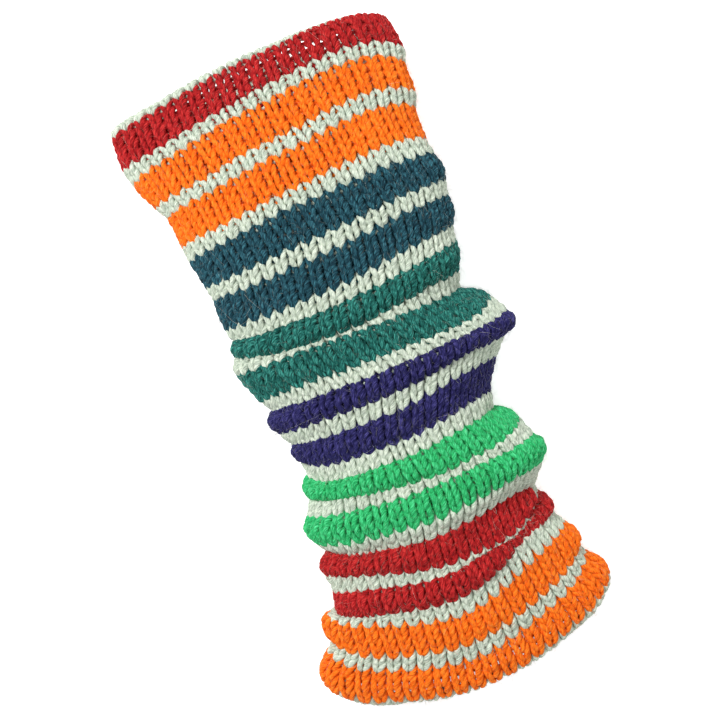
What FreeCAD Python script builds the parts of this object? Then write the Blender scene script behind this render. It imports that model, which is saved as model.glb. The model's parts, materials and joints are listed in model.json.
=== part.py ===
import FreeCAD, Part

import os

# A striped wool tube knitted by hand, open at both ends, slouched and lying on its side.
# Millimetres. +Y runs along the tube to its top rim, +X to its right and +Z up from the
# surface it lies on. The origin is on that surface, under the middle of the tube.
# Every stripe is its own yarn, knitted onto the rows of the stripe before it, so every
# stripe is a sub-part: a ring of fabric, oval in section and flat where it lies.

WALL = 4.5  # the fabric, which is two yarns thick
SINK = 2.5  # how much of the round underside lies pressed flat on the surface

# The stripes from the top rim to the hem, and the length that each takes up as it lies.
# A coloured stripe has four rows and a grey one two, at 4 mm a row when pulled straight.
# They take up less from the viridian stripes down, where the fabric slouches.
BANDS = (
    ("top_edge", 3.0),
    ("red_band_1", 15.0),
    ("grey_band_1", 6.4),
    ("orange_band_1", 16.5),
    ("grey_band_2", 7.2),
    ("orange_band_2", 17.3),
    ("grey_band_3", 7.6),
    ("petrol_band_1", 16.2),
    ("grey_band_4", 6.8),
    ("petrol_band_2", 14.9),
    ("grey_band_5", 7.6),
    ("viridian_band_1", 11.3),
    ("grey_band_6", 2.9),
    ("viridian_band_2", 13.2),
    ("grey_band_7", 5.6),
    ("indigo_band_1", 10.4),
    ("grey_band_8", 7.5),
    ("indigo_band_2", 12.2),
    ("grey_band_9", 6.6),
    ("emerald_band_1", 11.4),
    ("grey_band_10", 5.1),
    ("emerald_band_2", 12.0),
    ("grey_band_11", 7.3),
    ("red_band_2", 13.0),
    ("grey_band_12", 4.0),
    ("red_band_3", 11.4),
    ("grey_band_13", 8.7),
    ("orange_band_3", 12.4),
    ("grey_band_14", 7.4),
    ("orange_band_4", 13.6),
    ("bottom_edge", 2.2),
)

# The oval where a stripe begins: that stripe, its width, its middle along X, its height.
STATIONS = (
    ("rim", "top_edge", 136.0, -0.5, 42.0),
    ("cuff", "grey_band_1", 139.0, -0.5, 46.0),
    ("shoulder", "orange_band_2", 124.5, 2.0, 54.0),
    ("upper", "grey_band_4", 118.0, 6.0, 62.0),
    ("upper_crease", "grey_band_6", 110.0, 2.0, 65.0),
    ("upper_fold", "indigo_band_1", 115.0, 11.5, 69.0),
    ("under_fold", "grey_band_8", 113.0, 9.0, 69.0),
    ("waist", "grey_band_9", 92.5, 4.0, 66.0),
    ("below_waist", "emerald_band_1", 93.5, 4.0, 66.0),
    ("lower_fold", "grey_band_11", 109.5, 6.0, 67.0),
    ("lower_crease", "red_band_2", 100.0, 4.5, 62.0),
    ("flare", "red_band_3", 107.0, 3.5, 60.0),
    ("skirt", "grey_band_14", 124.5, 2.5, 53.0),
    ("hem", "bottom_edge", 138.0, 1.0, 46.0),
    ("hem_end", None, 134.0, 1.0, 42.0),
)

NAMES = [name for name, _ in BANDS]
LENGTHS = [length for _, length in BANDS]


def start_of(band):
    """How far from the top rim a stripe begins; None is the far end of the last one."""
    count = len(BANDS) if band is None else NAMES.index(band)
    return sum(LENGTHS[:count])


def fill_sheet(doc):
    """The driving dimensions, each in a cell with its own alias."""
    sheet = doc.addObject("Spreadsheet::Sheet", "Sizes")
    cells = [("wall", WALL), ("sink", SINK), ("tube_length", sum(LENGTHS))]
    cells += [(f"{name}_length", length) for name, length in BANDS]
    for name, _, width, middle, height in STATIONS:
        cells.append((f"{name}_width", width))
        cells.append((f"{name}_middle", middle))
        cells.append((f"{name}_height", height))
    for row, (alias, value) in enumerate(cells, start=1):
        sheet.set(f"A{row}", alias.replace("_", " "))
        sheet.set(f"B{row}", str(value))
        sheet.setAlias(f"B{row}", alias)
    doc.recompute()
    return sheet


def between_stations(kind, distance):
    """The expression for a station size at a distance from the rim, in line between two."""
    starts = [start_of(band) for _, band, *_ in STATIONS]
    after = next(n for n, start in enumerate(starts) if start >= distance - 1e-6)
    before = max(after - 1, 0)
    share = 0.0
    if after > before:
        share = (distance - starts[before]) / (starts[after] - starts[before])
    near, far = STATIONS[before][0], STATIONS[after][0]
    return f"({1 - share:.3f} * Sizes.{near}_{kind} + {share:.3f} * Sizes.{far}_{kind})"


def oval(doc, name, distance, y_expression, inset):
    """One oval across the tube: the outside of the fabric, or the inside with an inset."""
    width = between_stations("width", distance)
    height = between_stations("height", distance)
    ring = doc.addObject("Part::Ellipse", name)
    ring.Placement.Rotation = FreeCAD.Rotation(FreeCAD.Vector(1, 0, 0), 90)
    ring.setExpression("MajorRadius", f"{width} / 2 - {inset}")
    ring.setExpression("MinorRadius", f"({height} + Sizes.sink) / 2 - {inset}")
    ring.setExpression("Placement.Base.x", between_stations("middle", distance))
    ring.setExpression("Placement.Base.y", y_expression)
    ring.setExpression("Placement.Base.z", f"({height} - Sizes.sink) / 2")
    return ring


def half_space(doc, name, z_expression):
    """A block over everything above a level, for keeping the flat underside."""
    block = doc.addObject("Part::Box", name)
    block.setExpression("Length", "2 * Sizes.cuff_width")
    block.setExpression("Width", "1.2 * Sizes.tube_length")
    block.setExpression("Height", "2 * Sizes.upper_fold_height")
    block.setExpression("Placement.Base.x", "-Sizes.cuff_width")
    block.setExpression("Placement.Base.y", "-0.6 * Sizes.tube_length")
    block.setExpression("Placement.Base.z", z_expression)
    return block


def loft(doc, name, first, second):
    body = doc.addObject("Part::Loft", name)
    body.Sections = [first, second]
    body.Solid = True
    body.Ruled = True
    return body


def common(doc, name, base, tool):
    kept = doc.addObject("Part::Common", name)
    kept.Base = base
    kept.Tool = tool
    return kept


def make_band(doc, name, ovals_before, ovals_after, above_surface, above_sole):
    """One stripe: the solid between two outer ovals, less the one between the inner two."""
    outer = loft(doc, f"{name}_outer", ovals_before[0], ovals_after[0])
    inner = loft(doc, f"{name}_inner", ovals_before[1], ovals_after[1])
    band = doc.addObject("Part::Cut", name)
    band.Base = common(doc, f"{name}_resting", outer, above_surface)
    band.Tool = common(doc, f"{name}_hollow", inner, above_sole)
    band.Label = name
    return band


def make_tube(doc):
    above_surface = half_space(doc, "AboveSurface", "0")
    above_sole = half_space(doc, "AboveSole", "Sizes.wall")
    ovals = []
    y_expression = "Sizes.tube_length / 2"
    for number in range(len(BANDS) + 1):
        distance = sum(LENGTHS[:number])
        outside = oval(doc, f"Outside_{number}", distance, y_expression, "0")
        inside = oval(doc, f"Inside_{number}", distance, y_expression, "Sizes.wall")
        ovals.append((outside, inside))
        if number < len(BANDS):
            y_expression += f" - Sizes.{NAMES[number]}_length"
    return [
        make_band(doc, name, ovals[n], ovals[n + 1], above_surface, above_sole)
        for n, name in enumerate(NAMES)
    ]


def check(doc, bands):
    for thing in doc.Objects:
        if "Invalid" in thing.State or "Error" in thing.State:
            raise RuntimeError(f"{thing.Name} failed: {thing.State}")
    for band in bands:
        shape = band.Shape
        if shape.isNull() or not shape.isValid() or len(shape.Solids) != 1:
            raise RuntimeError(f"{band.Label} isn't one valid solid")


def main():
    doc = FreeCAD.newDocument("knitted_tube")
    fill_sheet(doc)
    bands = make_tube(doc)
    doc.recompute()
    check(doc, bands)
    os.makedirs("parts", exist_ok=True)
    for band in bands:
        band.Shape.exportStep(f"parts/{band.Label}.step")
    volume = sum(band.Shape.Volume for band in bands)
    print(f"{len(bands)} stripes, {volume / 1000:.0f} cubic centimetres of fabric")


main()
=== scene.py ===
import json
import math

import bpy
import numpy as np
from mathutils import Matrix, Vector


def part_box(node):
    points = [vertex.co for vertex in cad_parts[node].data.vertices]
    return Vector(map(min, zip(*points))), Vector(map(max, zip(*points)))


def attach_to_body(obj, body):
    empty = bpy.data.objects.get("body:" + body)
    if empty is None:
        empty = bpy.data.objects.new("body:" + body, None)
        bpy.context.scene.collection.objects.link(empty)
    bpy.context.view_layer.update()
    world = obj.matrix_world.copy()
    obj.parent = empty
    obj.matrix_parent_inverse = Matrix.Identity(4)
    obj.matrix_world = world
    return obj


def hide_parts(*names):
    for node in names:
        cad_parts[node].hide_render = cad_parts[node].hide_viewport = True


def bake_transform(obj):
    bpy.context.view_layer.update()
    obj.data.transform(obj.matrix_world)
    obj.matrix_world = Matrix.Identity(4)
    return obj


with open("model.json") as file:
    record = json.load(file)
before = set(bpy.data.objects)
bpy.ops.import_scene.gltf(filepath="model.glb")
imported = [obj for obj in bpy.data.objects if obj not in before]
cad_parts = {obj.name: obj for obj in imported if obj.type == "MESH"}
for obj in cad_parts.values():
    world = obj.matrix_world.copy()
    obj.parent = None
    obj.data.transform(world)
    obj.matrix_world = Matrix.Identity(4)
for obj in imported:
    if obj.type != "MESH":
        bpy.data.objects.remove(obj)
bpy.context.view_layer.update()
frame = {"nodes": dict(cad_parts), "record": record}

MM = 0.001

# ---------------------------------------------------------------------------------------
# The knitting. Lengths are millimetres until a mesh is written.
# A place on the fabric is (u, v): u counts wales round the tube from the middle of the
# underside, v counts rows from the top rim to the hem.

WALES = 42
ROWS = 92
ROWS_OF = {"top": 2, "bottom": 2, "grey": 2}  # the other stripes have COLOUR_ROWS each
COLOUR_ROWS = 4
YARN = 1.11  # the yarn's radius, on average along a stitch
YARN_SWELL = 0.16  # how much fatter it is on a loop's legs and thinner where loops cross
ROW_HEIGHT = 4.0  # of the fabric pulled straight
ROW_PACKED = 0.88  # rows close up this far before the fabric folds
FOLD = 0.3  # how far a fold stands out, as a share of the other side of a right triangle
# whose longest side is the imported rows' length and whose third is the length they lie in
CREST = 0.9  # how much more of a fold's rows lie open on its crest than on its flanks
WALE_RUN = 14  # a wale drifts sideways over this many rows, not from one row to the next
LEAN = (0.23, 0.26)  # how far a loop's left and right legs swing sideways, in wales
ORANGE_LEAN = (0.21, 0.28)  # the orange yarn is spun harder, which twists its loops further
LOOP_PINCH = 0.02  # how much nearer to its loop's middle each leg is, in wales
LOOP_REACH = 0.95  # half a loop's height, in rows
LOOP_DEPTH = 1.25  # half the distance between the fabric's two layers of yarn
LOOP_POINT = 0.33  # how near a leg's ends it is at its widest and its narrowest
LOOP_DIVE = 1.8  # how steeply a leg dives behind the other rows at its ends
LOOP_TUCK = 0.5  # how much later a leg dives behind the next row than it comes to the front
HALF_FABRIC = LOOP_DEPTH + YARN
SINK = 2.5  # the oval would reach this far below the surface, and is flattened there
SOFTNESS = 1.2  # how gently the flattened underside turns up into the sides
PRESSED = 0.12  # how much lower than half its thickness the fabric's middle then lies
TAIL_INWARD = 1.8  # how many rows back into the fabric a yarn's tails run
ROUND = 384  # points round the tube that its shape is worked out at
STEPS = 24  # points along each stitch
SIDES = 10  # points round the yarn
PLY_TURN = 7.0  # a full turn of the two plies
PLY_DEPTH = 0.08  # how far the plies stand out, as a share of the radius

HAIRS = 20  # loose fibres tried on each stitch; those that face in are dropped
HAIR = 0.05  # a loose fibre's radius
HAIR_LENGTH = (2.0, 5.5)
HAIR_TAPER = 0.6  # how much of its radius a fibre loses towards its tip
HAIR_OFF = 1.8  # fibres bend over when they stand this far off the yarn
HAIR_BEND = 0.92  # how much of what would stand further off is bent down
HAIR_RISE = 3.0  # no part of a fibre is higher above its root
HAIR_STEPS = 5
STRAYS = 120  # longer, paler fibres tried on each dark stripe; those that face in are dropped
STRAY_LENGTH = (7.0, 15.0)
STRAY_WOOLS = ("red", "petrol", "indigo", "viridian")
STRIPS = 32  # a stripe's yarn is unwrapped in this many lengths

BANDS = [
    "top_edge", "red_band_1", "grey_band_1", "orange_band_1", "grey_band_2",
    "orange_band_2", "grey_band_3", "petrol_band_1", "grey_band_4", "petrol_band_2",
    "grey_band_5", "viridian_band_1", "grey_band_6", "viridian_band_2", "grey_band_7",
    "indigo_band_1", "grey_band_8", "indigo_band_2", "grey_band_9", "emerald_band_1",
    "grey_band_10", "emerald_band_2", "grey_band_11", "red_band_2", "grey_band_12",
    "red_band_3", "grey_band_13", "orange_band_3", "grey_band_14", "orange_band_4",
    "bottom_edge",
]

# How the start of a stripe lies, at the tube's left, upper left, top, upper right and right:
# how far up the tube it runs there, and then how far out it stands at the left, top and right.
LAY = {
    "top_edge": ((-5.5, -5.0, -0.3, 0.3, -4.5), (-3.5, -5.0, -7.0)),
    "red_band_1": ((-5.5, -4.5, 0.7, 2.9, -0.5), (1.5, 0.0, 0.0)),
    "grey_band_1": ((-5.0, -6.0, 0.7, 5.0, -0.5), (0.5, 0.0, 1.0)),
    "orange_band_1": ((-6.5, -5.3, 1.0, 5.0, -0.5), (0.5, 0.0, 0.0)),
    "grey_band_2": ((-4.0, -4.4, 0.2, 4.5, 1.0), (0.0, 0.0, 1.5)),
    "orange_band_2": ((-4.0, -3.2, 0.5, 4.2, 2.0), (-1.5, 0.0, 0.0)),
    "grey_band_3": ((-1.0, -2.0, 0.9, 4.5, 4.0), (0.0, 0.0, -1.0)),
    "petrol_band_1": ((-0.5, -1.6, 1.3, 3.0, 4.5), (0.5, 0.0, 0.0)),
    "grey_band_4": ((1.3, 0.0, 1.3, 4.6, 7.5), (0.5, 0.0, 0.0)),
    "petrol_band_2": ((1.5, 0.0, 0.8, 4.6, 7.2), (-1.0, 0.0, 0.0)),
    "grey_band_5": ((2.4, 0.8, -0.3, 5.4, 9.3), (-1.0, 0.0, 0.0)),
    "viridian_band_1": ((2.4, 0.2, -0.4, 5.0, 10.3), (-3.0, 0.0, 0.5)),
    "grey_band_6": ((8.0, 3.0, 1.2, 5.2, 8.0), (-2.0, 0.0, -1.5)),
    "viridian_band_2": ((4.5, 1.5, 0.5, 0.5, 2.0), (2.5, 0.0, -5.0)),
    "grey_band_7": ((3.0, 2.3, 0.6, 0.8, 7.0), (1.5, 0.0, -0.5)),
    "indigo_band_1": ((0.5, -0.4, -0.4, 1.4, 4.6), (-1.0, 0.0, 0.5)),
    "grey_band_8": ((2.5, 1.2, 1.2, 6.2, 7.0), (-1.5, 0.0, -1.0)),
    "indigo_band_2": ((1.5, 0.8, 0.8, 5.4, 6.5), (-4.0, 0.0, -2.0)),
    "grey_band_9": ((8.0, 1.8, 0.4, 3.3, 4.0), (-1.0, 0.0, -0.5)),
    "emerald_band_1": ((4.5, -0.5, -0.7, 2.0, 3.5), (-2.0, 0.0, -2.5)),
    "grey_band_10": ((6.7, 4.2, 0.3, 0.6, 6.0), (-2.0, 0.0, 3.0)),
    "emerald_band_2": ((4.2, 2.4, 0.6, 0.9, 2.5), (0.5, 0.0, 4.5)),
    "grey_band_11": ((6.0, 3.0, -0.2, 3.0, 3.5), (-0.5, 0.0, -0.5)),
    "red_band_2": ((5.7, 2.5, -0.4, 2.7, 0.5), (-2.5, 0.0, -2.5)),
    "grey_band_12": ((10.5, 6.8, -0.7, 1.0, 16.0), (0.5, -1.0, -3.0)),
    "red_band_3": ((5.5, 3.4, -1.6, 3.0, 13.5), (-1.5, -1.0, -3.0)),
    "grey_band_13": ((4.0, 4.5, -0.3, 11.0, 15.3), (-3.0, 0.0, -3.5)),
    "orange_band_3": ((14.0, 9.0, 0.0, 10.8, 15.5), (0.5, 0.0, -1.0)),
    "grey_band_14": ((16.0, 6.8, -0.8, 8.3, 17.0), (-2.0, 0.0, -1.5)),
    "orange_band_4": ((19.0, 8.6, -0.4, 8.8, 19.0), (-1.0, 0.0, -1.0)),
    "bottom_edge": ((20.0, 8.5, 0.0, 9.2, 20.5), (0.0, 0.0, 1.5)),
    "end": ((17.0, 6.5, 1.0, 7.5, 17.5), (-3.5, -6.0, -2.5)),
}
# How far up it runs at its lower sides and underneath, as a share of that at its sides.
UNDER_TURN = (0.85, 0.45)


def rows_in(band):
    return ROWS_OF.get(band.split("_")[0], COLOUR_ROWS)


def smooth(knots, values, at):
    """A curve through values, along their first axis, that never swings past them."""
    knots = np.asarray(knots, float)
    values = np.asarray(values, float)
    gaps = np.diff(knots).reshape((-1,) + (1,) * (values.ndim - 1))
    rises = np.diff(values, axis=0) / gaps
    product = rises[:-1] * rises[1:]
    total = rises[:-1] + rises[1:]
    inner = np.where(product > 0, 2 * product / np.where(total == 0, 1, total), 0)
    slopes = np.concatenate([rises[:1], inner, rises[-1:]])
    piece = np.clip(np.searchsorted(knots, at, side="right") - 1, 0, len(knots) - 2)
    gap = gaps[piece]
    t = (np.asarray(at) - knots[piece]).reshape(gap.shape) / gap
    before, after = values[piece], values[piece + 1]
    return (
        before * (1 + 2 * t) * (1 - t) ** 2
        + slopes[piece] * gap * t * (1 - t) ** 2
        + after * t * t * (3 - 2 * t)
        + slopes[piece + 1] * gap * t * t * (t - 1)
    )


def round_tube(left, upper_left, top, upper_right, right, angle):
    """A smooth value at each angle round the tube, from its values at five places.

    Angles run from -pi, in the middle of the underside, over the left, the top and the right.
    """
    side, under = UNDER_TURN
    lower = under * (left + right) / 2
    eighths = [lower, side * left, left, upper_left, top, upper_right, right, side * right]
    place = (angle + math.pi) / (math.pi / 4)
    n = np.floor(place).astype(int)
    t = place - n
    before, start, end, after = (
        np.stack(eighths)[(n + shift) % 8] for shift in (-1, 0, 1, 2)
    )
    t = t[:, None] if start.ndim > 1 else t
    return (
        start
        + 0.5 * t * (end - before)
        + t**2 * (before - 2.5 * start + 2 * end - 0.5 * after)
        + t**3 * (1.5 * (start - end) + 0.5 * (after - before))
    )


def ripple(rng, waves_u, waves_v, count=7):
    """A smooth random field over the fabric, about 1 high, that closes round the tube."""
    round_waves = rng.integers(-waves_u, waves_u + 1, count)
    along_waves = rng.uniform(-waves_v, waves_v, count)
    phases = rng.uniform(0, 2 * math.pi, count)

    def field(u, v):
        total = 0
        for k, m, p in zip(round_waves, along_waves, phases):
            total = total + np.sin(2 * math.pi * (k * u / WALES + m * v / ROWS) + p)
        return total / math.sqrt(count)

    return field


# ---------------------------------------------------------------------------------------
# The fabric's surface


def oval_at(node, top):
    """The width, middle and height of a CAD stripe at its upper or its lower end, and its y."""
    co = np.array([v.co for v in frame["nodes"][node].data.vertices], float) / MM
    y = co[:, 1].max() if top else co[:, 1].min()
    end = co[np.abs(co[:, 1] - y) < 0.05]
    low, high = end.min(0), end.max(0)
    return high[0] - low[0], (high[0] + low[0]) / 2, high[2], y


class Fabric:
    """The middle of the fabric: where wale u and row v lie, and which way is out."""

    PER_ROW = 8
    PER_WALE = 8

    def __init__(self):
        rows = [0]
        for band in BANDS:
            rows.append(rows[-1] + rows_in(band))
        self.rows = rows
        self.start = dict(zip(BANDS + ["end"], rows))
        ovals = [oval_at(band, True) for band in BANDS] + [oval_at(BANDS[-1], False)]
        width, middle, height, y = np.array(ovals).T
        angle = np.linspace(-math.pi, math.pi, ROUND, endpoint=False)
        sin, cos = np.sin(angle), np.cos(angle)
        lay = [LAY[band] for band in BANDS + ["end"]]
        up = np.array([round_tube(*ups, angle) for ups, outs in lay])
        edges = y[:, None] + up
        left_out, top_out, right_out = np.array([outs for ups, outs in lay]).T[:, :, None]
        out = (
            top_out * np.clip(cos, 0, 1) ** 2
            + left_out * np.clip(-sin, 0, 1) ** 2
            + right_out * np.clip(sin, 0, 1) ** 2
        )
        v = np.linspace(0, rows[-1], rows[-1] * self.PER_ROW + 1)
        y_v = smooth(rows, edges, v) + self.crests(v, edges)
        out_v = smooth(rows, out, v) + self.folds(v, edges, cos)
        a = smooth(rows, width / 2, v)[:, None] - HALF_FABRIC
        h = smooth(rows, height, v)[:, None]
        c = smooth(rows, middle, v)[:, None]
        b = (h + SINK) / 2 - HALF_FABRIC
        x_v = c + (a + out_v) * sin
        above = (h - SINK) / 2 + (b + out_v) * cos - HALF_FABRIC
        z_v = HALF_FABRIC + 0.5 * (above + np.sqrt(above**2 + SOFTNESS**2)) - PRESSED
        points = np.stack([x_v, y_v, z_v], -1)
        self.grid = self.even_wales(points)
        self.normals = self.outward(self.grid)

    def stripes(self, v, edges):
        """For each stripe but the two edges: its name, its rows, how much of its length they
        take up at each angle, and how far through the stripe each of them is."""
        for n, band in enumerate(BANDS):
            if "edge" not in band:
                full = rows_in(band) * ROW_HEIGHT * ROW_PACKED
                taken = np.clip(edges[n] - edges[n + 1], 0, full)
                through = (v - self.rows[n]) / rows_in(band)
                inside = (through >= 0) & (through < 1)
                yield band, inside, full, taken, through[inside, None]

    def crests(self, v, edges):
        """How far each row moves along the tube to open up on the crest of its fold."""
        shift = np.zeros((len(v), edges.shape[1]))
        for band, inside, full, taken, through in self.stripes(v, edges):
            bunched = CREST * (1 - taken / full)
            shift[inside] = taken * bunched * np.sin(2 * math.pi * through) / (2 * math.pi)
        return shift

    def folds(self, v, edges, cos):
        """How far each stripe arches where it takes up less length than its rows have.

        A grey stripe sinks in. A coloured one swells out, but where it is squeezed to almost
        nothing it is tucked in, under its neighbours.
        """
        out = np.zeros((len(v), edges.shape[1]))
        for band, inside, full, taken, through in self.stripes(v, edges):
            depth = FOLD * np.sqrt(full**2 - taken**2)
            depth = depth * (0.5 + 0.5 * np.tanh(3 * (cos + 0.55)))
            share = taken / full
            way = (share - 0.9) / 0.5 if "grey" in band else (share - 0.3) / 0.2
            depth = depth * np.clip(way, -1, 0 if "grey" in band else 1)
            out[inside] = np.sin(math.pi * through) ** 1.5 * depth
        return out

    def even_wales(self, points):
        """The same surface with its columns on wales that are nearly even and run straight."""
        closed = np.concatenate([points, points[:, :1]], 1)
        step = np.linalg.norm(np.diff(closed, axis=1), axis=2)
        along = np.concatenate([np.zeros((len(points), 1)), np.cumsum(step, 1)], 1)
        count = WALES * self.PER_WALE
        share = np.arange(count) / count
        column = np.arange(closed.shape[1])
        places = np.array([np.interp(share * row[-1], row, column) for row in along])
        reach = WALE_RUN * self.PER_ROW
        weight = np.hanning(2 * reach + 3)[1:-1]
        padded = np.pad(places, ((reach, reach), (0, 0)), mode="edge")
        straight = [np.convolve(places, weight / weight.sum(), "valid") for places in padded.T]
        rows = zip(np.transpose(straight), closed)
        even = [[np.interp(at, column, axis) for axis in row.T] for at, row in rows]
        return np.array(even).transpose(0, 2, 1)

    def outward(self, grid):
        across = np.roll(grid, -1, 1) - np.roll(grid, 1, 1)
        along = np.gradient(grid, axis=0)
        normal = np.cross(along, across)
        return normal / np.linalg.norm(normal, axis=2, keepdims=True)

    def sample(self, table, u, v):
        u = (u % WALES) * self.PER_WALE
        v = np.clip(v, 0, self.rows[-1] - 1e-6) * self.PER_ROW
        i, j = np.floor(v).astype(int), np.floor(u).astype(int)
        fv, fu = (v - i)[:, None], (u - j)[:, None]
        j2 = (j + 1) % table.shape[1]
        j = j % table.shape[1]
        near = table[i, j] * (1 - fu) + table[i, j2] * fu
        far = table[i + 1, j] * (1 - fu) + table[i + 1, j2] * fu
        return near * (1 - fv) + far * fv

    def place(self, u, v, out):
        """Points on the fabric, moved outward, and the outward directions there."""
        normal = self.sample(self.normals, u, v)
        normal = normal / np.linalg.norm(normal, axis=1, keepdims=True)
        past = np.asarray(v) - np.clip(v, 0, self.rows[-1])
        beyond = np.zeros((len(u), 3))
        beyond[:, 1] = -past * ROW_HEIGHT
        return self.sample(self.grid, u, v) + beyond + normal * out[:, None], normal


# ---------------------------------------------------------------------------------------
# The yarn


def stitch_noise(rng, count, spread):
    """A value for each stitch, joined smoothly, as a function of the place along the yarn."""
    values = rng.normal(0, spread, count + 2)

    def at(t):
        n = np.clip(np.floor(t).astype(int), 0, count)
        f = t - n
        f = f * f * (3 - 2 * f)
        return values[n] * (1 - f) + values[np.minimum(n + 1, count + 1)] * f

    return at


def knitted_path(fabric, band, rng, waver):
    """The line of one stripe's yarn: loop after loop, round after round, up the tube."""
    first = fabric.start[band]
    rounds = rows_in(band)
    stitches = rounds * WALES
    t = np.arange(stitches * STEPS + 1) / STEPS
    turn = 2 * math.pi * t
    left_lean, right_lean = ORANGE_LEAN if "orange" in band else LEAN
    middle, spread = (left_lean + right_lean) / 2, (right_lean - left_lean) / 2
    lean = (middle - spread * np.sin(turn)) * (1 + stitch_noise(rng, stitches, 0.12)(t))
    reach = LOOP_REACH * (1 + stitch_noise(rng, stitches, 0.05)(t))
    depth = LOOP_DEPTH * (1 + stitch_noise(rng, stitches, 0.08)(t))
    swing = np.sin(2 * turn + LOOP_POINT * np.sin(2 * turn))
    u = t + lean * swing + LOOP_PINCH * np.sin(turn)
    u = u + stitch_noise(rng, stitches, 0.03)(t)
    v = first + rounds - t / WALES + reach * np.cos(turn)
    u = u + 0.10 * waver[0](u, v)
    v = v + 0.10 * waver[1](u, v)
    dive = np.tanh(LOOP_DIVE * np.cos(2 * turn + LOOP_TUCK * np.sin(turn)))
    out = stitch_noise(rng, stitches, 0.12)(t) + 0.2 * waver[2](u, v) - depth * dive
    radius = YARN * (1 - YARN_SWELL * np.cos(2 * turn)) * (
        1 + stitch_noise(rng, stitches, 0.05)(t)
    )
    return u, v, out, radius


def with_tails(u, v, out, radius):
    """The same line with its two ends laid along the inside of the tube."""
    steps = np.arange(1, 3 * STEPS + 1) / STEPS
    sunk = -LOOP_DEPTH - 1.5 * YARN * np.clip(steps, 0, 1)
    wave = 0.25 * np.sin(5.0 * steps)
    thin = np.full(len(steps), YARN)
    inward = np.clip(steps, 0, 1) * TAIL_INWARD
    before = (u[0] - steps[::-1], v[0] + (wave - inward)[::-1], sunk[::-1], thin)
    after = (u[-1] + steps, v[-1] + wave + inward, sunk, thin)
    whole = zip(before, (u, v, out, radius), after)
    return tuple(np.concatenate([b, m, a]) for b, m, a in whole)


def unit(vectors):
    return vectors / np.linalg.norm(vectors, axis=-1, keepdims=True)


class Tubes:
    """Swept tubes of one piece, gathered into one mesh.

    Each vertex keeps where it would be if its fibre were pulled straight and how pale it is,
    which the wool's material reads, and each face has its place on a flat map of the yarn.
    """

    def __init__(self):
        self.points, self.straight, self.pale, self.uvs = [], [], [], []
        self.quads, self.caps, self.count = [], [], 0

    def add(self, rings, straight, uv, pale):
        """Tubes of equal length: rings is (tubes, rings, sides, 3), pale is one value a tube."""
        tubes, count, sides = rings.shape[:3]
        ring = np.arange(count - 1)[:, None] * sides
        k = np.arange(sides)
        k2 = (k + 1) % sides
        quad = np.stack([ring + k, ring + k2, ring + sides + k2, ring + sides + k], -1)
        first = self.count + np.arange(tubes) * count * sides
        quads = first[:, None, None, None] + quad
        self.quads.append(quads.reshape(-1, 4))
        self.uvs.append(uv.reshape(-1, 2))
        self.caps.append((first[:, None] + k[::-1]).reshape(-1, sides))
        self.caps.append((first[:, None] + (count - 1) * sides + k).reshape(-1, sides))
        self.pale.append(np.repeat(pale, count * sides))
        self.points.append(rings.reshape(-1, 3))
        self.straight.append(straight.reshape(-1, 3))
        self.count += rings.size // 3

    def mesh(self, name):
        points = np.concatenate(self.points) * MM
        quads = np.concatenate(self.quads)
        corners = [quads.ravel()] + [cap.ravel() for cap in self.caps]
        sizes = [np.full(len(quads), 4)] + [np.full(len(c), c.shape[1]) for c in self.caps]
        corners, sizes = np.concatenate(corners), np.concatenate(sizes)
        mesh = bpy.data.meshes.new(name)
        mesh.vertices.add(len(points))
        mesh.vertices.foreach_set("co", points.ravel().astype(np.float32))
        mesh.loops.add(len(corners))
        mesh.loops.foreach_set("vertex_index", corners.astype(np.int32))
        mesh.polygons.add(len(sizes))
        starts = np.concatenate([[0], np.cumsum(sizes)[:-1]])
        mesh.polygons.foreach_set("loop_start", starts.astype(np.int32))
        mesh.polygons.foreach_set("use_smooth", np.ones(len(sizes), bool))
        flat = np.full((len(corners), 2), 0.5 / (STRIPS + 1), np.float32)
        flat[: len(quads) * 4] = np.concatenate(self.uvs)
        layer = mesh.uv_layers.new(name="OFBake")
        layer.data.foreach_set("uv", flat.ravel())
        straight = mesh.attributes.new("straight", "FLOAT_VECTOR", "POINT")
        straight.data.foreach_set(
            "vector", np.concatenate(self.straight).ravel().astype(np.float32)
        )
        pale = mesh.attributes.new("pale", "FLOAT", "POINT")
        pale.data.foreach_set("value", np.concatenate(self.pale).astype(np.float32))
        mesh.update()
        mesh.validate()
        return mesh


def tube_rings(points, side, up, radius, angle):
    """Rings of vertices round a line, or round many lines at once."""
    cos = (radius * np.cos(angle))[..., None]
    sin = (radius * np.sin(angle))[..., None]
    return points[..., None, :] + cos * up[..., None, :] + sin * side[..., None, :]


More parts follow.
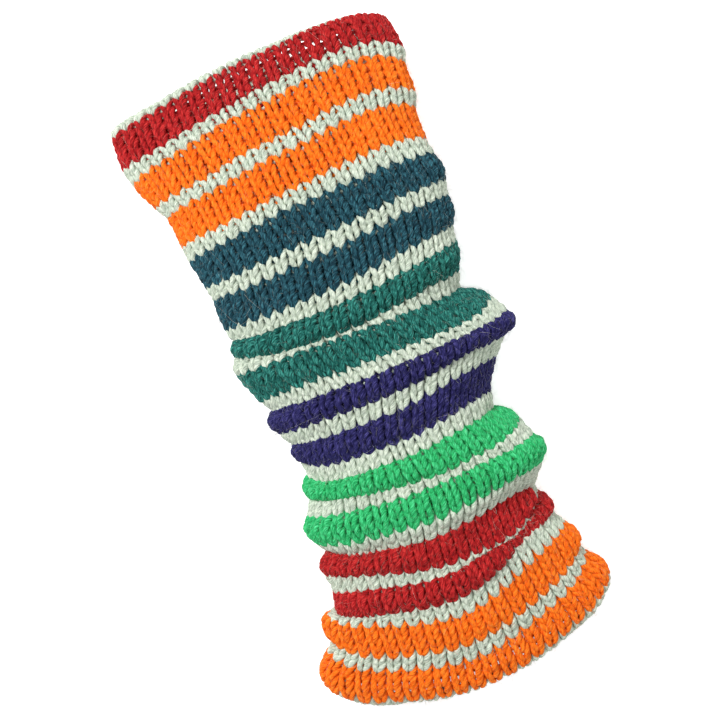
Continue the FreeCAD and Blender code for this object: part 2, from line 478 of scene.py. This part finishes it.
def add_yarn(tubes, points, normals, radius, phase):
    """Sweeps a two-ply yarn along a line. Returns its rings and their outward directions."""
    tangent = unit(np.gradient(points, axis=0))
    side = unit(np.cross(tangent, normals))
    up = np.cross(side, tangent)
    step = np.linalg.norm(np.diff(points, axis=0), axis=1)
    along = np.concatenate([[0], np.cumsum(step)])
    angle = np.arange(SIDES) * 2 * math.pi / SIDES
    turn = 2 * math.pi * along[:, None] / PLY_TURN + phase
    lobes = radius[:, None] * (1 + PLY_DEPTH * np.cos(2 * (angle - turn)))
    rings = tube_rings(points, side, up, lobes, angle)
    rings[..., 2] = np.maximum(rings[..., 2], 0.02)
    spun = angle - turn
    straight = np.stack(
        [YARN * np.cos(spun), YARN * np.sin(spun), np.broadcast_to(along[:, None], spun.shape)],
        -1,
    )
    length = along[-1] / STRIPS
    strip = np.minimum(along[:-1] // length, STRIPS - 1)
    start = (along[:-1] / length - strip) * 0.98 + 0.01
    end = (along[1:] / length - strip) * 0.98 + 0.01
    k = np.arange(SIDES)
    low = (strip[:, None] + 1 + 0.06 + 0.88 * k / SIDES) / (STRIPS + 1)
    high = (strip[:, None] + 1 + 0.06 + 0.88 * (k + 1) / SIDES) / (STRIPS + 1)
    start, end = np.broadcast_arrays(start[:, None], end[:, None], low)[:2]
    uv = np.stack([start, low, start, high, end, high, end, low], -1)
    tubes.add(rings[None], straight, uv, np.zeros(1))
    return rings, unit(rings - points[:, None])


def add_hairs(tubes, rng, roots, away, along, lengths, pale):
    """Thin bent fibres that stand off the yarn from roots, each in its own direction."""
    count = len(roots)
    lean = rng.uniform(0.25, 0.9, (count, 1))
    flip = rng.choice([-1, 1], (count, 1))
    start = unit(lean * away + flip * along * rng.uniform(0.5, 1, (count, 1)))
    curl = rng.normal(0, 0.75, (count, 3))
    s = np.linspace(0, 1, HAIR_STEPS)[None, :, None]
    reach = lengths[:, None, None]
    points = reach * (s * start[:, None] + 0.5 * s * s * curl[:, None])
    off = np.sum(points * away[:, None], axis=2, keepdims=True)
    points = roots[:, None] + points - away[:, None] * HAIR_BEND * np.maximum(off - HAIR_OFF, 0)
    points[..., 2] = np.minimum(points[..., 2], roots[:, None, 2] + HAIR_RISE)
    points[..., 2] = np.maximum(points[..., 2], 0.15)
    tangent = unit(np.gradient(points, axis=1) + 1e-6)
    side = unit(np.cross(tangent, rng.normal(0, 1, (count, 1, 3))))
    up = np.cross(side, tangent)
    angle = np.arange(3) * 2 * math.pi / 3
    taper = HAIR * (1 - HAIR_TAPER * s[..., 0])[..., None] * np.ones((count, 1, 3))
    rings = tube_rings(points, side, up, taper, angle)
    straight = np.stack([np.cos(angle), np.sin(angle), 0 * angle], -1) * YARN
    straight = np.broadcast_to(straight, rings.shape).copy()
    straight[..., 2] += rng.uniform(0, 500, (count, 1, 1)) + reach * s
    box = 0.5 / (STRIPS + 1) * np.array([[0.5, 0.5, 0.5, 1.5, 1.5, 1.5, 1.5, 0.5]])
    uv = np.broadcast_to(box, (count * (HAIR_STEPS - 1) * 3, 8))
    tubes.add(rings, straight, uv, pale)


def add_fuzz(tubes, rng, rings, outward, normals, hairs, lengths, lean, pale):
    """Loose fibres on a yarn, wherever its side faces out of the fabric by more than lean."""
    ring = rng.integers(1, len(rings) - 1, hairs)
    side = rng.integers(0, SIDES, hairs)
    faces_out = (outward[ring, side] * normals[ring]).sum(1) > lean
    ring, side = ring[faces_out], side[faces_out]
    along = unit(rings[ring + 1, side] - rings[ring - 1, side])
    roots = rings[ring, side] - 0.1 * outward[ring, side]
    lengths = rng.uniform(*lengths, len(ring))
    pale = rng.uniform(*pale, len(ring))
    add_hairs(tubes, rng, roots, outward[ring, side], along, lengths, pale)


# ---------------------------------------------------------------------------------------
# Materials


def colour(red, green, blue):
    """A linear colour from the eight-bit one that the eye sees."""
    def linear(value):
        value = value / 255
        return value / 12.92 if value <= 0.04045 else ((value + 0.055) / 1.055) ** 2.4
    return (linear(red), linear(green), linear(blue), 1.0)


WOOLS = {
    "grey": (colour(196, 208, 190), colour(236, 242, 226), colour(138, 150, 136)),
    "red": (colour(172, 22, 27), colour(220, 64, 60), colour(96, 6, 12)),
    "orange": (colour(250, 114, 14), colour(255, 152, 52), colour(200, 68, 2)),
    "petrol": (colour(20, 60, 73), colour(66, 124, 138), colour(6, 28, 38)),
    "viridian": (colour(16, 88, 80), colour(76, 166, 152), colour(5, 44, 42)),
    "indigo": (colour(31, 29, 82), colour(80, 76, 140), colour(12, 11, 46)),
    "emerald": (colour(42, 180, 104), colour(92, 222, 152), colour(14, 114, 58)),
}
PALE = colour(226, 222, 206)  # the undyed wool that loose fibres fade towards


def wool(name):
    """Spun wool: fine fibres along the yarn, light and dark, that also roughen it."""
    base, light, dark = WOOLS[name]
    material = bpy.data.materials.new(f"{name}_wool")
    material.use_nodes = True
    nodes, links = material.node_tree.nodes, material.node_tree.links
    shader = nodes["Principled BSDF"]
    shader.inputs["Roughness"].default_value = 0.9
    shader.inputs["Specular IOR Level"].default_value = 0.2
    shader.inputs["Sheen Weight"].default_value = 0.2
    shader.inputs["Sheen Roughness"].default_value = 0.4
    shader.inputs["Sheen Tint"].default_value = light
    place = nodes.new("ShaderNodeAttribute")
    place.attribute_name = "straight"
    stretch = nodes.new("ShaderNodeMapping")
    stretch.inputs["Scale"].default_value = (1.0, 1.0, 0.22)
    links.new(place.outputs["Vector"], stretch.inputs["Vector"])
    fibres = nodes.new("ShaderNodeTexNoise")
    fibres.inputs["Scale"].default_value = 2.4
    fibres.inputs["Detail"].default_value = 3.0
    fibres.inputs["Roughness"].default_value = 0.65
    links.new(stretch.outputs["Vector"], fibres.inputs["Vector"])
    ramp = nodes.new("ShaderNodeValToRGB")
    ramp.color_ramp.elements[0].position = 0.34
    ramp.color_ramp.elements[0].color = dark
    ramp.color_ramp.elements[1].position = 0.66
    ramp.color_ramp.elements[1].color = light
    middle = ramp.color_ramp.elements.new(0.5)
    middle.color = base
    links.new(fibres.outputs["Fac"], ramp.inputs["Fac"])
    pale = nodes.new("ShaderNodeAttribute")
    pale.attribute_name = "pale"
    fade = nodes.new("ShaderNodeMix")
    fade.data_type = "RGBA"
    fade.inputs[7].default_value = PALE
    links.new(pale.outputs["Fac"], fade.inputs[0])
    links.new(ramp.outputs["Color"], fade.inputs[6])
    links.new(fade.outputs[2], shader.inputs["Base Color"])
    bump = nodes.new("ShaderNodeBump")
    bump.inputs["Strength"].default_value = 0.7
    bump.inputs["Distance"].default_value = 0.0004
    links.new(fibres.outputs["Fac"], bump.inputs["Height"])
    links.new(bump.outputs["Normal"], shader.inputs["Normal"])
    return material


# ---------------------------------------------------------------------------------------
# Building


def make_bands():
    rng = np.random.default_rng(7)
    fabric = Fabric()
    waver = [ripple(rng, 6, 8), ripple(rng, 6, 8), ripple(rng, 9, 10)]
    wools = {name: wool(name) for name in WOOLS}
    pieces = {}
    for band in BANDS:
        u, v, out, radius = with_tails(*knitted_path(fabric, band, rng, waver))
        points, normals = fabric.place(u, v, out)
        tubes = Tubes()
        rings, outward = add_yarn(tubes, points, normals, radius, rng.uniform(0, 6))
        hairs = HAIRS * rows_in(band) * WALES
        add_fuzz(tubes, rng, rings, outward, normals, hairs, HAIR_LENGTH, -0.2, (0, 0.4))
        kind = band.split("_")[0]
        if kind in STRAY_WOOLS:
            add_fuzz(tubes, rng, rings, outward, normals, STRAYS, STRAY_LENGTH, 0.5, (0.5, 1))
        mesh = tubes.mesh(band)
        piece = bpy.data.objects.new(f"yarn_{band}", mesh)
        bpy.context.scene.collection.objects.link(piece)
        name = kind if kind in WOOLS else "grey"
        mesh.materials.append(wools[name])
        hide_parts(band)
        pieces[band] = piece
    return pieces


# The stretches of fabric that bend or stretch between two bodies: the body above, the body
# below, and the first and the last stripe of the stretch.
ZONES = (
    ("cuff", "upper", "grey_band_2", "grey_band_3"),
    ("upper", "middle", "grey_band_5", "viridian_band_2"),
    ("middle", "lower", "grey_band_8", "grey_band_9"),
    ("lower", "hem", "grey_band_11", "red_band_3"),
)


def attach(pieces):
    """A stripe rides on its body; one that crosses a joint is left on no body, with its placement
    kept in its mesh.
    """
    zones = []
    for upper, lower, first, last in ZONES:
        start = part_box(first)[1].y
        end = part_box(last)[0].y
        zones.append((upper, lower, start, end))
    for band, piece in pieces.items():
        co = np.array([v.co.y for v in piece.data.vertices])
        low, high = co.min(), co.max()
        overlaps = [
            (min(high, start) - max(low, end), upper, lower, start, end)
            for upper, lower, start, end in zones
        ]
        most, upper, lower, start, end = max(overlaps)
        if most > 0:
            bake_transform(piece)
        else:
            bodies = frame["record"]["behaviour"]["bodies"]
            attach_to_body(piece, next(name for name, nodes in bodies.items() if band in nodes))


def make_stage():
    """A pale floor with painted light: it glows, so the tube's shadow round it is lit away, but
    not under the tube, where the glow would show through the loops.
    """
    bpy.ops.mesh.primitive_plane_add(size=6)
    floor = bpy.context.object
    floor.name = "floor"
    material = bpy.data.materials.new("painted_glow_floor")
    material.use_nodes = True
    shader = material.node_tree.nodes["Principled BSDF"]
    shader.inputs["Base Color"].default_value = (0.9, 0.9, 0.9, 1)
    shader.inputs["Roughness"].default_value = 1.0
    shader.inputs["Specular IOR Level"].default_value = 0.0
    # Painted light: the floor glows white although it is no lamp.
    shader.inputs["Emission Color"].default_value = (1, 1, 1, 1)
    nodes, links = material.node_tree.nodes, material.node_tree.links
    place = nodes.new("ShaderNodeNewGeometry")
    axes = nodes.new("ShaderNodeSeparateXYZ")
    links.new(place.outputs["Position"], axes.inputs["Vector"])

    def math_node(operation, *values):
        node = nodes.new("ShaderNodeMath")
        node.operation = operation
        for n, value in enumerate(values):
            links.new(value, node.inputs[n])
        return node.outputs["Value"]

    across, along = (math_node("ABSOLUTE", axes.outputs[axis]) for axis in "XY")
    bulge = math_node("MULTIPLY", along, along)
    dip = math_node("MULTIPLY", math_node("ADD", across, across), math_node("ADD", across, across))
    sides, ends = math_node("SUBTRACT", across, bulge), math_node("ADD", along, dip)
    edges = []
    for size, near, far in ((sides, 0.034, 0.040), (ends, 0.150, 0.157)):
        edge = nodes.new("ShaderNodeMapRange")
        edge.inputs["From Min"].default_value = near
        edge.inputs["From Max"].default_value = far
        edge.inputs["To Min"].default_value = 1.0
        edge.inputs["To Max"].default_value = 0.0
        links.new(size, edge.inputs["Value"])
        edges.append(edge.outputs["Result"])
    # Painted light: the floor glows at 0.62 away from the tube, which lights away the tube's
    # shadow there, and the glow fades to none under the tube's outline.
    glow = nodes.new("ShaderNodeMapRange")
    glow.inputs["To Min"].default_value = 0.62
    glow.inputs["To Max"].default_value = 0.0
    links.new(math_node("MULTIPLY", *edges), glow.inputs["Value"])
    links.new(glow.outputs["Result"], shader.inputs["Emission Strength"])
    floor.data.materials.append(material)
    world = bpy.data.worlds.new("studio")
    bpy.context.scene.world = world
    world.use_nodes = True
    world.node_tree.nodes["Background"].inputs["Color"].default_value = (1, 1, 1, 1)
    world.node_tree.nodes["Background"].inputs["Strength"].default_value = 0.38
    for name, place, size, power in (
        ("key", (-0.45, 0.75, 1.25), 0.45, 21.0),
        ("fill", (0.8, -0.4, 1.1), 1.2, 5.0),
    ):
        light = bpy.data.lights.new(name, "AREA")
        light.size = size
        light.energy = power
        lamp = bpy.data.objects.new(name, light)
        bpy.context.scene.collection.objects.link(lamp)
        lamp.location = place
        lamp.rotation_euler = (-Vector(place)).to_track_quat("-Z", "Y").to_euler()


def make_camera():
    data = bpy.data.cameras.new("camera")
    data.lens = 61.5
    data.sensor_width = 36
    data.clip_start = 0.01
    camera = bpy.data.objects.new("camera", data)
    bpy.context.scene.collection.objects.link(camera)
    camera.location = (0.0, 0.0049, 0.582)
    camera.rotation_euler = (0, 0, math.radians(-21))
    bpy.context.scene.camera = camera


bpy.context.scene.view_settings.view_transform = "Standard"
make_stage()
make_camera()
attach(make_bands())
